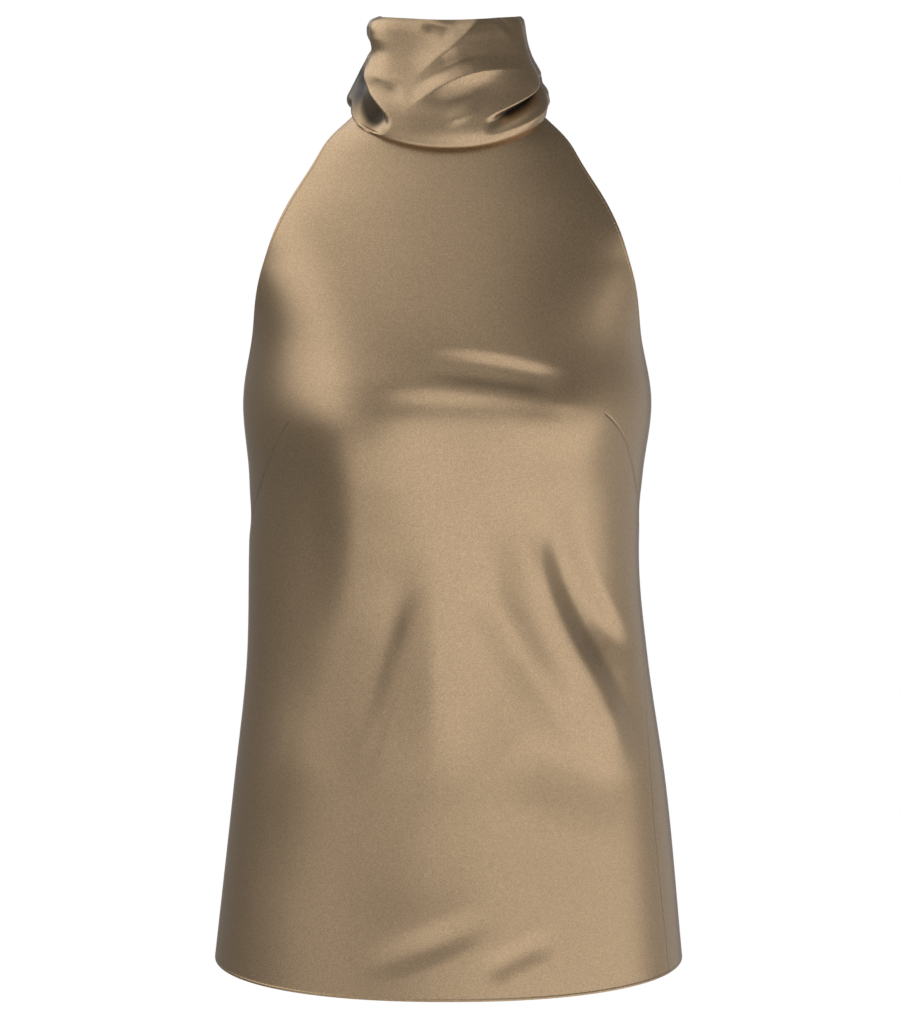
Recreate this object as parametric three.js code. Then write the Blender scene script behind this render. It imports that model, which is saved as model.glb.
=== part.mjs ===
// A sleeveless halter top in heavy satin, in the hollow form that it has when worn.
// A front panel hangs from a soft standing neck band, a low back panel closes the body below the
// underarms, and the band is tied in a bow at the nape.
//
// Millimetres. +Z is up, the front faces -Y, and +X is on the viewer's right from the front.
// The origin is the middle of the neck opening, where the wearer's neck holds the garment.
import * as THREE from "three";

// ---------------------------------------------------------------- driving sizes

const HEM_Z = -636; // the hem, level all round
const UNDERARM_Z = -208; // where the armholes meet the side seams
const NECK_FRONT_Z = -12; // the neckline at the centre front, at the sides and at the nape
const NECK_SIDE_Z = 13;
const NECK_BACK_Z = 20;
const NECK_CORNER = 72; // degrees from the centre front to the corner of neckline and armhole
const NECK_CURVE = 2.6; // how late the neckline climbs from the centre to its corners
const BAND_TOP_Z = 81.5; // the folded upper edge of the neck band at the sides
const BAND_DIP_FRONT = 3.2; // how far that edge dips at the centre front and back
const BAND_DIP_BACK = 4.5;
const BACK_DIP = 16; // how far the back's upper edge sinks between the side seams

const PANEL_WALL = 1.8; // cloth walls
const BAND_WALL = 2.4; // the band is doubled cloth
const BOW_WALL = 1.8;
const SEAM_GAP = 0.3; // between neighbouring pieces
const MM_PER_DEGREE = 2.4; // girth of one degree round the body, for the folds' widths

const CLOTH = { color: 0x8f7a5f, roughness: 0.42, metalness: 0.25 };

// ---------------------------------------------------------------- tables

// Level sections of the body: half widths to the left and right, depths to the front and back, and how
// square the outline is (2 is an ellipse). Above the underarm the armholes cut these outlines short.
const SECTIONS = [
  { z: -636, left: 181, right: 181, front: 126, back: 112, square: 2.2 },
  { z: -500, left: 165, right: 167, front: 112, back: 104, square: 2.2 },
  { z: -400, left: 154, right: 152, front: 105, back: 92, square: 2.2 },
  { z: -330, left: 152, right: 145, front: 106, back: 84, square: 2.2 },
  { z: -260, left: 151, right: 147, front: 114, back: 86, square: 2.2 },
  { z: -208, left: 155, right: 153, front: 121, back: 92, square: 2.2 },
  { z: -150, left: 150, right: 147, front: 116, back: 92, square: 2.2 },
  { z: -99, left: 157, right: 153, front: 100, back: 88, square: 2.2 },
  { z: -54, left: 158, right: 154, front: 80, back: 80, square: 2.2 },
  { z: -17, left: 123, right: 120, front: 61, back: 70, square: 2.2 },
  { z: 13, left: 71, right: 71, front: 52, back: 62, square: 2.4 },
  { z: 26, left: 66, right: 66, front: 49, back: 58, square: 2.4 },
];

// The free and seamed side edges of the front panel, in degrees from the centre front.
const SIDE_EDGES = [
  { z: -636, left: 94, right: 72 },
  { z: -500, left: 94, right: 72 },
  { z: -370, left: 93, right: 80 },
  { z: -208, left: 89, right: 88 },
  { z: -150, left: 77, right: 77 },
  { z: -99, left: 68, right: 68 },
  { z: -54, left: 64, right: 64 },
  { z: -17, left: 66, right: 66 },
  { z: 13, left: NECK_CORNER, right: NECK_CORNER },
];

// Bust fullness from the darts: a soft rise each side.
const BUST = [
  { angle: -30, z: -219, rise: 8, spreadAngle: 20, spreadZ: 46 },
  { angle: 38, z: -219, rise: 8, spreadAngle: 20, spreadZ: 46 },
];

// The largest folds of the body: a line from one end over a middle point to the other, each point as
// degrees from the centre front and height. left and right are the fold's widths to each side of that way,
// and depth is its height, a ridge above 0 and a trough below. It starts over the share grow of its length
// and ends over the share fade.
const BODY_FOLDS = [
  { from: [-16, -163], over: [12, -167], to: [38, -181], left: 14, right: 56, depth: -1.7, grow: 0.6, fade: 0.2 },
  { from: [-46, -180], over: [4, -185], to: [50, -201], left: 22, right: 12, depth: 0.6, grow: 0.25, fade: 0.2 },
  { from: [-28, -222], over: [-39, -374], to: [-67, -554], left: 96, right: 48, depth: 6, grow: 0.25, fade: 0.4 },
  { from: [-6, -251], over: [-5, -371], to: [-7, -475], left: 60, right: 44, depth: 4, grow: 0.5, fade: 0.35 },
  { from: [-17, -320], over: [-27, -400], to: [-37, -480], left: 20, right: 96, depth: -3.4, grow: 0.35, fade: 0.35 },
  { from: [10, -318], over: [22, -360], to: [40, -430], left: 24, right: 28, depth: -2.2, grow: 0.35, fade: 0.35 },
  { from: [20, -262], over: [43, -372], to: [65, -482], left: 28, right: 36, depth: 7.5, grow: 0.3, fade: 0.25 },
  { from: [39, -268], over: [50, -336], to: [74, -398], left: 16, right: 44, depth: -6.5, grow: 0.35, fade: 0.3 },
  { from: [25, -444], over: [43, -470], to: [77, -492], left: 25, right: 45, depth: -1.5, grow: 0.35, fade: 0.3 },
  { from: [-43, -554], over: [-17, -547], to: [25, -555], left: 60, right: 40, depth: -1, grow: 0.35, fade: 0.35 },
  { from: [-33, -616], over: [-6, -596], to: [21, -571], left: 20, right: 16, depth: -1.6, grow: 0.3, fade: 0.5 },
  { from: [10, -620], over: [24, -603], to: [38, -592], left: 14, right: 14, depth: -1.1, grow: 0.3, fade: 0.4 },
  { from: [-84, -272], over: [-96, -288], to: [-112, -296], left: 30, right: 30, depth: -5, grow: 0.4, fade: 0.4 },
  { from: [84, -262], over: [98, -284], to: [116, -292], left: 30, right: 30, depth: -4, grow: 0.4, fade: 0.4 },
  { from: [150, -252], over: [156, -400], to: [152, -600], left: 44, right: 44, depth: 7, grow: 0.4, fade: 0.2 },
  { from: [176, -262], over: [181, -420], to: [184, -600], left: 40, right: 40, depth: -7, grow: 0.4, fade: 0.2 },
  { from: [208, -250], over: [204, -410], to: [210, -600], left: 44, right: 44, depth: 7, grow: 0.4, fade: 0.2 },
  { from: [122, -290], over: [128, -420], to: [118, -600], left: 36, right: 36, depth: -5, grow: 0.4, fade: 0.3 },
  { from: [238, -290], over: [232, -420], to: [242, -600], left: 36, right: 36, depth: -5, grow: 0.4, fade: 0.3 },
];

// The neck band from its seam to its top fold. climb is the share of the band's height. The next four
// columns say how far it stands out from the neckline to each side, and hang how far its roll drops in front.
const BAND_RINGS = [
  { climb: 0.0, left: -3, right: -3, front: -3, back: -3, hang: 0 },
  { climb: 0.02, left: 2, right: 2, front: 3, back: 1, hang: 2 },
  { climb: 0.05, left: 4, right: 4, front: 6.5, back: 3, hang: 6.5 },
  { climb: 0.12, left: 5, right: 4.5, front: 9, back: 4, hang: 6.5 },
  { climb: 0.22, left: 2, right: 1, front: 8.5, back: 3, hang: 3 },
  { climb: 0.4, left: -4, right: -2, front: 2, back: 1, hang: 0.5 },
  { climb: 0.56, left: -10, right: -8, front: -4, back: -1, hang: 0 },
  { climb: 0.68, left: -13, right: -11, front: -7, back: -2, hang: 0 },
  { climb: 0.82, left: -10, right: -13, front: -10.5, back: -3, hang: 0 },
  { climb: 0.92, left: -11, right: -14, front: -13, back: -4, hang: 0 },
  { climb: 1.0, left: -18, right: -16, front: -16.5, back: -7, hang: 0 },
];

// The band's largest folds, each point as degrees from the centre front and share of the band's height.
const BAND_FOLDS = [
  { from: [-76, 0.56], over: [-53, 0.32], to: [-36, 0.16], left: 12, right: 24, depth: -7, grow: 0.3, fade: 0.3 },
  { from: [-104, 0.74], over: [-84, 0.66], to: [-64, 0.62], left: 9, right: 9, depth: -4, grow: 0.3, fade: 0.4 },
  { from: [40, 1.14], over: [5, 0.81], to: [-30, 0.48], left: 44, right: 56, depth: 9.5, grow: 0.1, fade: 0.5 },
  { from: [-32, 0.22], over: [17, 0.575], to: [66, 0.46], left: 13, right: 20, depth: 4.2, grow: 0.3, fade: 0.4 },
  { from: [94, 0.36], over: [58, 0.275], to: [22, 0.18], left: 10, right: 9, depth: -5, grow: 0.2, fade: 0.4 },
  { from: [120, 0.3], over: [150, 0.42], to: [172, 0.5], left: 12, right: 12, depth: -4, grow: 0.4, fade: 0.2 },
  { from: [-120, 0.3], over: [-150, 0.42], to: [-172, 0.5], left: 12, right: 12, depth: -4, grow: 0.4, fade: 0.2 },
  { from: [116, 0.72], over: [146, 0.68], to: [172, 0.6], left: 12, right: 12, depth: 3, grow: 0.4, fade: 0.2 },
  { from: [-116, 0.8], over: [-146, 0.72], to: [-172, 0.62], left: 12, right: 12, depth: 3, grow: 0.4, fade: 0.2 },
];

const KNOT = { z: 44, width: 32, height: 36, depth: 24, square: 2.6, pleats: 5, pleatDepth: 1.1 };

// Each loop leaves the knot's side, falls at droop degrees below level and folds back on itself.
const LOOPS = [
  { name: "bow_loop_left", side: -1, length: 72, droop: 57, tip: 24, fullness: 38, root: 9 },
  { name: "bow_loop_right", side: 1, length: 68, droop: 53, tip: 23, fullness: 36, root: 9 },
];

// Each tail hangs from under the knot to its own length, and is cut off at a slant.
const TAILS = [
  { name: "bow_tail_left", side: -1, length: 236, spread: 22, width: 60, slant: 22 },
  { name: "bow_tail_right", side: 1, length: 214, spread: 19, width: 58, slant: 20 },
];

// ---------------------------------------------------------------- curves and folds

const radians = THREE.MathUtils.degToRad;
const lerp = THREE.MathUtils.lerp;
const ease = (value, share) => THREE.MathUtils.smoothstep(value, 0, share);

// A smooth curve through one column of a table whose rows climb in the key column.
function column(table, name, key = "z") {
  const at = table.map((row) => row[key]);
  const value = table.map((row) => row[name]);
  const last = at.length - 1;
  const slope = (i) => (value[i + 1] - value[i]) / (at[i + 1] - at[i]);
  const tangent = at.map((_, i) => {
    if (i === 0) return slope(0);
    if (i === last) return slope(last - 1);
    const before = at[i] - at[i - 1];
    const after = at[i + 1] - at[i];
    return (slope(i - 1) * after + slope(i) * before) / (before + after);
  });
  return (x) => {
    let i = 0;
    while (i < last - 1 && x > at[i + 1]) i++;
    const span = at[i + 1] - at[i];
    const t = THREE.MathUtils.clamp((x - at[i]) / span, 0, 1);
    const u = 1 - t;
    return (
      value[i] * (1 + 2 * t) * u * u +
      tangent[i] * span * t * u * u +
      value[i + 1] * t * t * (3 - 2 * t) -
      tangent[i + 1] * span * t * t * u
    );
  };
}

const FOLD_SEGMENTS = 8;

// The point at share t of a fold's line, which passes through its middle point.
function foldPoint(fold, t) {
  const bend = (k) => 2 * fold.over[k] - (fold.from[k] + fold.to[k]) / 2;
  const at = (k) => (1 - t) ** 2 * fold.from[k] + 2 * t * (1 - t) * bend(k) + t * t * fold.to[k];
  return [at(0), at(1)];
}

const foldLines = new Map();
for (const fold of [...BODY_FOLDS, ...BAND_FOLDS]) {
  foldLines.set(
    fold,
    Array.from({ length: FOLD_SEGMENTS + 1 }, (_, i) => foldPoint(fold, i / FOLD_SEGMENTS)),
  );
}

// The height of all the folds of a table at one point. girth and rise turn the point's two numbers to mm.
function foldHeight(folds, angle, level, girth, rise) {
  let height = 0;
  for (const fold of folds) {
    const line = foldLines.get(fold);
    let nearest = Infinity;
    let share = 0;
    let beside = 0;
    for (let i = 0; i < FOLD_SEGMENTS; i++) {
      const alongX = (line[i + 1][0] - line[i][0]) * girth;
      const alongY = (line[i + 1][1] - line[i][1]) * rise;
      const x = (angle - line[i][0]) * girth;
      const y = (level - line[i][1]) * rise;
      const t = THREE.MathUtils.clamp((x * alongX + y * alongY) / (alongX ** 2 + alongY ** 2), 0, 1);
      const away = Math.hypot(x - t * alongX, y - t * alongY);
      if (away < nearest) {
        nearest = away;
        share = (i + t) / FOLD_SEGMENTS;
        beside = alongX * y - alongY * x;
      }
    }
    const width = beside > 0 ? fold.left : fold.right;
    if (nearest >= width) continue;
    const ends = ease(share, fold.grow) * ease(1 - share, fold.fade);
    height += fold.depth * ends * 0.5 * (1 + Math.cos((Math.PI * nearest) / width));
  }
  return height;
}

// ---------------------------------------------------------------- the body's surface

const section = Object.fromEntries(
  ["left", "right", "front", "back", "square"].map((name) => [name, column(SECTIONS, name)]),
);

// Radius of the plain section at an angle from the centre front, positive to the right.
function sectionRadius(angle, z) {
  const sine = Math.sin(radians(angle));
  const cosine = Math.cos(radians(angle));
  const width = sine > 0 ? section.right(z) : section.left(z);
  const depth = cosine > 0 ? section.front(z) : section.back(z);
  const n = section.square(z);
  return ((Math.abs(cosine) / depth) ** n + (Math.abs(sine) / width) ** n) ** (-1 / n);
}

function bustRise(angle, z) {
  let height = 0;
  for (const bump of BUST) {
    const across = (angle - bump.angle) / bump.spreadAngle;
    const up = (z - bump.z) / bump.spreadZ;
    height += bump.rise * Math.exp(-(across ** 2) - up ** 2);
  }
  return height;
}

function bodyRadius(angle, z) {
  let radius = sectionRadius(angle, z) + bustRise(angle, z);
  for (const turn of [-360, 0, 360]) radius += foldHeight(BODY_FOLDS, angle + turn, z, MM_PER_DEGREE, 1);
  return radius;
}

// Level depth through a body wall of even thickness, which is more where the cloth slopes.
function wallDepth(angle, z) {
  const slope = (bodyRadius(angle, z + 1) - bodyRadius(angle, z - 1)) / 2;
  const turn = (bodyRadius(angle + 0.5, z) - bodyRadius(angle - 0.5, z)) / radians(1) / bodyRadius(angle, z);
  return PANEL_WALL * Math.hypot(1, slope, turn);
}

const polar = (angle, radius, z) =>
  new THREE.Vector3(radius * Math.sin(radians(angle)), -radius * Math.cos(radians(angle)), z);

// Height of the neckline at an angle from the centre front.
function necklineZ(angle) {
  const round = Math.abs(angle);
  const climb = Math.min(1, round / NECK_CORNER) ** NECK_CURVE;
  const behind = THREE.MathUtils.smoothstep(round, NECK_CORNER, 180);
  return lerp(NECK_FRONT_Z, NECK_SIDE_Z, climb) + (NECK_BACK_Z - NECK_SIDE_Z) * behind;
}

// ---------------------------------------------------------------- solids from grids

// A closed wall between an outer and an inner point function, over whole numbers i across and j up.
// Where it closes on itself, the last column meets the first.
function wall(columns, rows, outer, inner, closed = false) {
  const across = closed ? columns : columns + 1;
  const points = [];
  for (const side of [outer, inner]) {
    for (let j = 0; j <= rows; j++) {
      for (let i = 0; i < across; i++) points.push(side(i / columns, j / rows));
    }
  }
  const layer = across * (rows + 1);
  const at = (side, i, j) => side * layer + j * across + (closed ? i % columns : i);
  const index = [];
  const quad = (a, b, c, d) => index.push(a, b, c, a, c, d);
  const miss = (a, b, centre) => points[a].clone().lerp(points[b], 0.5).distanceTo(centre);
  // Each quad is split along the diagonal that keeps nearer to the cloth's form.
  const fitted = (a, b, c, d, centre) => {
    if (miss(a, c, centre) <= miss(b, d, centre)) quad(a, b, c, d);
    else quad(b, c, d, a);
  };
  for (let j = 0; j < rows; j++) {
    for (let i = 0; i < columns; i++) {
      const u = (i + 0.5) / columns;
      const v = (j + 0.5) / rows;
      fitted(at(0, i, j), at(0, i + 1, j), at(0, i + 1, j + 1), at(0, i, j + 1), outer(u, v));
      fitted(at(1, i, j), at(1, i, j + 1), at(1, i + 1, j + 1), at(1, i + 1, j), inner(u, v));
    }
  }
  for (let i = 0; i < columns; i++) {
    quad(at(1, i, 0), at(1, i + 1, 0), at(0, i + 1, 0), at(0, i, 0));
    quad(at(0, i, rows), at(0, i + 1, rows), at(1, i + 1, rows), at(1, i, rows));
  }
  for (let j = 0; j < rows && !closed; j++) {
    quad(at(1, 0, j), at(0, 0, j), at(0, 0, j + 1), at(1, 0, j + 1));
    quad(at(0, columns, j), at(1, columns, j), at(1, columns, j + 1), at(0, columns, j + 1));
  }
  const geometry = new THREE.BufferGeometry().setFromPoints(points);
  geometry.setIndex(index);
  return geometry;
}

// The point function of a face that lies a distance in front of a surface.
function offset(surface, distance) {
  const STEP = 1e-3;
  return (u, v) => {
    const du = surface(u + STEP, v).sub(surface(u - STEP, v));
    const dv = surface(u, Math.min(1, v + STEP)).sub(surface(u, Math.max(0, v - STEP)));
    return surface(u, v).addScaledVector(du.cross(dv).normalize(), distance);
  };
}

// A cloth strip of even thickness, half of it on each side of a middle surface.
function strip(columns, rows, middle) {
  return wall(columns, rows, offset(middle, BOW_WALL / 2), offset(middle, -BOW_WALL / 2));
}

const garment = new THREE.Group();
garment.name = "bow_neck_top";

function add(name, geometry) {
  geometry.computeVertexNormals();
  const mesh = new THREE.Mesh(geometry, new THREE.MeshStandardMaterial(CLOTH));
  mesh.name = name;
  garment.add(mesh);
}

// ---------------------------------------------------------------- front and back panels

const FRONT_COLUMNS = 40;
const BACK_COLUMNS = 24;
const ROWS_BELOW_UNDERARM = 28;
const ROWS_ABOVE_UNDERARM = 12;
const EDGE_PASSES = 5; // height and edge angle each depend on the other
const leftEdge = column(SIDE_EDGES, "left");
const rightEdge = column(SIDE_EDGES, "right");
const seamHalfGap = THREE.MathUtils.radToDeg(SEAM_GAP / 2 / section.left(UNDERARM_Z));

// A wall of the body between two point functions of angle and height.
function panel(columns, rows, place) {
  const face = (inside) => (u, v) => {
    const [angle, z] = place(u, v);
    return polar(angle, bodyRadius(angle, z) - inside * wallDepth(angle, z), z);
  };
  return wall(columns, rows, face(0), face(1));
}

// The front's rows follow the hem at the bottom and the neckline at the top. One row ends at the underarms.
function frontPlace(u, v) {
  const across = 2 * u - 1;
  const rows = ROWS_BELOW_UNDERARM + ROWS_ABOVE_UNDERARM;
  const turn = ROWS_BELOW_UNDERARM / rows;
  const underarm = (UNDERARM_Z - HEM_Z) / (NECK_SIDE_Z - HEM_Z);
  const climb = v < turn ? (v / turn) * underarm : lerp(underarm, 1, (v - turn) / (1 - turn));
  let angle = across * NECK_CORNER;
  let z = HEM_Z;
  for (let pass = 0; pass < EDGE_PASSES; pass++) {
    z = lerp(HEM_Z, necklineZ(angle) - SEAM_GAP, climb);
    angle = across * ((across < 0 ? leftEdge(z) : rightEdge(z)) - seamHalfGap);
  }
  return [angle, z];
}

function backPlace(u, v) {
  const middle = Math.sin(Math.PI * u);
  const top = UNDERARM_Z - BACK_DIP * middle;
  const z = lerp(HEM_Z, top, v);
  const from = rightEdge(z) + seamHalfGap;
  const to = 360 - leftEdge(z) - seamHalfGap;
  return [lerp(from, to, u), z];
}

add("front_panel", panel(FRONT_COLUMNS, ROWS_BELOW_UNDERARM + ROWS_ABOVE_UNDERARM, frontPlace));
add("back_panel", panel(BACK_COLUMNS, ROWS_BELOW_UNDERARM, backPlace));

// ---------------------------------------------------------------- neck band

const BAND_COLUMNS = 60; // one of them falls on each corner of the neckline
const BAND_ROWS = 16;
const BAND_RISE = 94; // the band's mean height, for its folds' widths
const BAND_MM_PER_DEGREE = 1.2;
const BAND_CROWDING = 1.6;
const BAND_SEAM_SHARE = 0.08; // its folds start above this share of its height
const standOut = Object.fromEntries(
  ["left", "right", "front", "back", "hang"].map((name) => [name, column(BAND_RINGS, name, "climb")]),
);

// How far the band stands out from the neckline, blended round from the four sides.
function bandOffset(angle, climb) {
  const sine = Math.sin(radians(angle));
  const cosine = Math.cos(radians(angle));
  const side = sine > 0 ? standOut.right(climb) : standOut.left(climb);
  const face = cosine > 0 ? standOut.front(climb) : standOut.back(climb);
  const folds = foldHeight(BAND_FOLDS, angle, climb, BAND_MM_PER_DEGREE, BAND_RISE);
  return side * sine ** 2 + face * cosine ** 2 + folds * ease(climb, BAND_SEAM_SHARE);
}

function bandZ(angle, climb) {
  const cosine = Math.cos(radians(angle));
  const top = BAND_TOP_Z - (cosine > 0 ? BAND_DIP_FRONT : BAND_DIP_BACK) * cosine ** 2;
  return lerp(necklineZ(angle), top, climb) - standOut.hang(climb) * Math.max(0, cosine) ** 2;
}

// The band's outside. Its rows crowd toward the roll at the seam.
function bandSurface(u, v) {
  const angle = 360 * u - 180;
  const climb = Math.max(0, v) ** BAND_CROWDING;
  const seam = sectionRadius(angle, necklineZ(angle));
  return polar(angle, seam + bandOffset(angle, climb), bandZ(angle, climb));
}

add("neck_band", wall(BAND_COLUMNS, BAND_ROWS, bandSurface, offset(bandSurface, -BAND_WALL), true));

// ---------------------------------------------------------------- bow at the nape

// The band's outside at the nape, at a height.
function napeY(z) {
  const climb = (z - NECK_BACK_Z) / (BAND_TOP_Z - BAND_DIP_BACK - NECK_BACK_Z);
  return bandSurface(1, climb ** (1 / BAND_CROWDING)).y;
}

// Half the knot's depth at a height above its middle.
function knotHalfDepth(above) {
  const left = 1 - Math.abs((2 * above) / KNOT.height) ** KNOT.square;
  return (KNOT.depth / 2) * Math.max(0, left) ** (1 / KNOT.square);
}

const knotHeights = Array.from({ length: 13 }, (_, i) => (i / 12 - 0.5) * KNOT.height);
const knotSeat = Math.max(...knotHeights.map((above) => napeY(KNOT.z + above) + knotHalfDepth(above)));
const knotCentre = new THREE.Vector3(0, knotSeat + SEAM_GAP, KNOT.z);

// A tight lump of wrapped cloth, pleated up and down.
function knotGeometry() {
  const geometry = new THREE.SphereGeometry(1, 24, 14);
  const at = geometry.getAttribute("position");
  const signedRoot = (value) => Math.sign(value) * Math.abs(value) ** (2 / KNOT.square);
  for (let i = 0; i < at.count; i++) {
    const pleat = KNOT.pleatDepth * Math.cos(KNOT.pleats * Math.PI * at.getX(i)) * at.getZ(i) ** 2;
    const x = (signedRoot(at.getX(i)) * KNOT.width) / 2;
    const y = signedRoot(at.getZ(i)) * (KNOT.depth / 2 - KNOT.pleatDepth + pleat);
    const z = (signedRoot(at.getY(i)) * KNOT.height) / 2;
    at.setXYZ(i, x, y, -z);
  }
  return geometry.translate(...knotCentre);
}

// Across the loop v goes from its lower to its upper edge. Along it u goes out on the side near the neck,
// round the tip and back on the outer side.
function loopMiddle(loop) {
  const down = radians(loop.droop);
  const start = KNOT.width / 2 + SEAM_GAP + BOW_WALL / 2;
  return (u, v) => {
    const open = Math.max(0, Math.sin(Math.PI * u));
    const out = loop.length * open;
    const apart = (-loop.fullness / 2) * Math.cos(Math.PI * u) * (0.14 + 0.86 * open ** 0.7);
    const half = lerp(loop.root, loop.tip, open ** 0.8);
    const across = (2 * v - 1) * half;
    const pleat = 1.6 * (1 - open) * Math.cos(3 * Math.PI * v);
    const sag = 8 * open ** 2;
    const x = start + out * Math.cos(down) + across * Math.sin(down) * open;
    const z = KNOT.z - out * Math.sin(down) + across * lerp(1, Math.cos(down), open) - sag;
    return new THREE.Vector3(loop.side * x, knotCentre.y + apart + pleat, z);
  };
}

// Across the tail u goes outward, and along it v goes down.
function tailMiddle(tail) {
  const top = KNOT.z - KNOT.height / 2 - SEAM_GAP;
  const rootHalf = 7;
  return (u, v) => {
    const down = v * (tail.length - tail.slant * (1 - u) * v);
    const half = lerp(rootHalf, tail.width / 2, ease(v, 0.85));
    const middle = rootHalf + BOW_WALL / 2 + tail.spread * ease(v, 1) + (half - rootHalf) * 0.5;
    const x = middle + (2 * u - 1) * half;
    const pleat = 3.2 * Math.sin(Math.PI * (2.2 * u + 0.3)) * lerp(0.8, 1.6, v);
    const rest = knotCentre.y + 14 * ease(v, 0.7);
    return new THREE.Vector3(tail.side * x, rest + pleat, top - down);
  };
}

add("bow_knot", knotGeometry());
for (const loop of LOOPS) add(loop.name, strip(22, 7, loopMiddle(loop)));
for (const tail of TAILS) add(tail.name, strip(7, 16, tailMiddle(tail)));

export default garment;
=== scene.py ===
"""The looks of the bow-neck top: satin shells over the CAD solids, with the folds of the garment when worn.

Lengths are millimetres until a mesh is made, then metres. Angles round the body are degrees from the centre
front, positive to the viewer's right. The front faces -Y.
"""
import math
from collections import namedtuple

import bpy
import numpy as np
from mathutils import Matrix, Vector


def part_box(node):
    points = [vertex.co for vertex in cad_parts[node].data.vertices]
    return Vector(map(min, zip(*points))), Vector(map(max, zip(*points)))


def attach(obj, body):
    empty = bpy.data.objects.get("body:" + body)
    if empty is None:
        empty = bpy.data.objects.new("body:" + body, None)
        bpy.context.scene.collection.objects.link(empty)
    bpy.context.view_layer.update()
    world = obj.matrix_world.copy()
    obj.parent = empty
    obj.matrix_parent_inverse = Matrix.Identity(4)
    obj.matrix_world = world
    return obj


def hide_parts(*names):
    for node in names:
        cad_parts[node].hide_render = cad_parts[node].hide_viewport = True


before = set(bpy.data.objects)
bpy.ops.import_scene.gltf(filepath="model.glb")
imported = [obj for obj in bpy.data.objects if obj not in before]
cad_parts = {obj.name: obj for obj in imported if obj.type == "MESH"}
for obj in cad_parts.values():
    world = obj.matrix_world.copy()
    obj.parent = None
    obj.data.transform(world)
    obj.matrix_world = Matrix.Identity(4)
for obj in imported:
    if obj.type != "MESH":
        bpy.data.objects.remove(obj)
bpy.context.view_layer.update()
MM = 0.001

# ---------------------------------------------------------------- camera, light and floor

CAMERA_DISTANCE = 2.25
CAMERA_HEIGHT = 0.04
AIM_HEIGHT = -0.288
CAMERA_SIDE = 0.0011
LENS = 105.8
SENSOR_WIDTH = 36
FLOOR_HEIGHT = -1.5  # the top is worn at its real height above the floor
FLOOR_RADIUS = 1.3
FLOOR_SIDES = 96
FLOOR_GRAY = 0.86
FLOOR_ROUGHNESS = 0.7

# The studio round the garment: soft-edged patches of light on a dim surround, in degrees. Azimuth runs from
# the centre front to the viewer's right. A patch is full over wide to each side of its azimuth and tall above
# and below its elevation, and fades out over soft and edge beyond them. Where patches overlap, the stronger
# one counts.
SURROUND = 0.15
Patch = namedtuple("Patch", "name azimuth wide soft elevation tall edge strength")
PATCHES = [
    Patch("backdrop", 180, 11, 5, -8, 13, 5, 0.85),
    Patch("key", -118, 26, 14, 42, 22, 9, 1.5),
    Patch("key_front", -70, 12, 22, 33, 25, 8, 1.5),
    Patch("key_foot", -45, 12, 14, 4, 8, 6, 0.6),
    Patch("high_left", -75, 25, 85, 62, 18, 26, 1.1),
    Patch("front_fill", -30, 30, 45, 47, 26, 7, 0.52),
    Patch("low_right", 42, 41, 13, -50, 52, 4, 1.25),
    Patch("low_left", -18, 26, 14, -50, 51, 5, 0.48),
    Patch("ground_left", -12, 26, 20, -60, 30, 10, 1.2),
    Patch("far_right", 115, 30, 10, -17, 19, 9, 0.4),
]


def new_object(name, data):
    made = bpy.data.objects.new(name, data)
    bpy.context.scene.collection.objects.link(made)
    return made


def node_tools(tree):
    """Two functions that add a math node or a smooth ramp, 0 at low and 1 at high, and return its value."""

    def math_node(operation, first, second=0.0):
        made = tree.nodes.new("ShaderNodeMath")
        made.operation = operation
        for socket, value in zip(made.inputs, (first, second)):
            if isinstance(value, (int, float)):
                socket.default_value = value
            else:
                tree.links.new(value, socket)
        return made.outputs["Value"]

    def ramp(value, low, high):
        made = tree.nodes.new("ShaderNodeMapRange")
        made.interpolation_type = "SMOOTHSTEP"
        made.inputs["From Min"].default_value = low
        made.inputs["From Max"].default_value = high
        tree.links.new(value, made.inputs["Value"])
        return made.outputs["Result"]

    return math_node, ramp


def direction(azimuth, elevation):
    turn, lift = math.radians(azimuth), math.radians(elevation)
    return Vector((math.sin(turn) * math.cos(lift), -math.cos(turn) * math.cos(lift), math.sin(lift)))


def make_camera():
    camera = new_object("camera", bpy.data.cameras.new("camera"))
    camera.data.lens = LENS
    camera.data.sensor_width = SENSOR_WIDTH
    camera.location = (CAMERA_SIDE, -CAMERA_DISTANCE, CAMERA_HEIGHT)
    target = Vector((CAMERA_SIDE, 0, AIM_HEIGHT))
    camera.rotation_euler = (target - camera.location).to_track_quat("-Z", "Y").to_euler()
    bpy.context.scene.camera = camera


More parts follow.
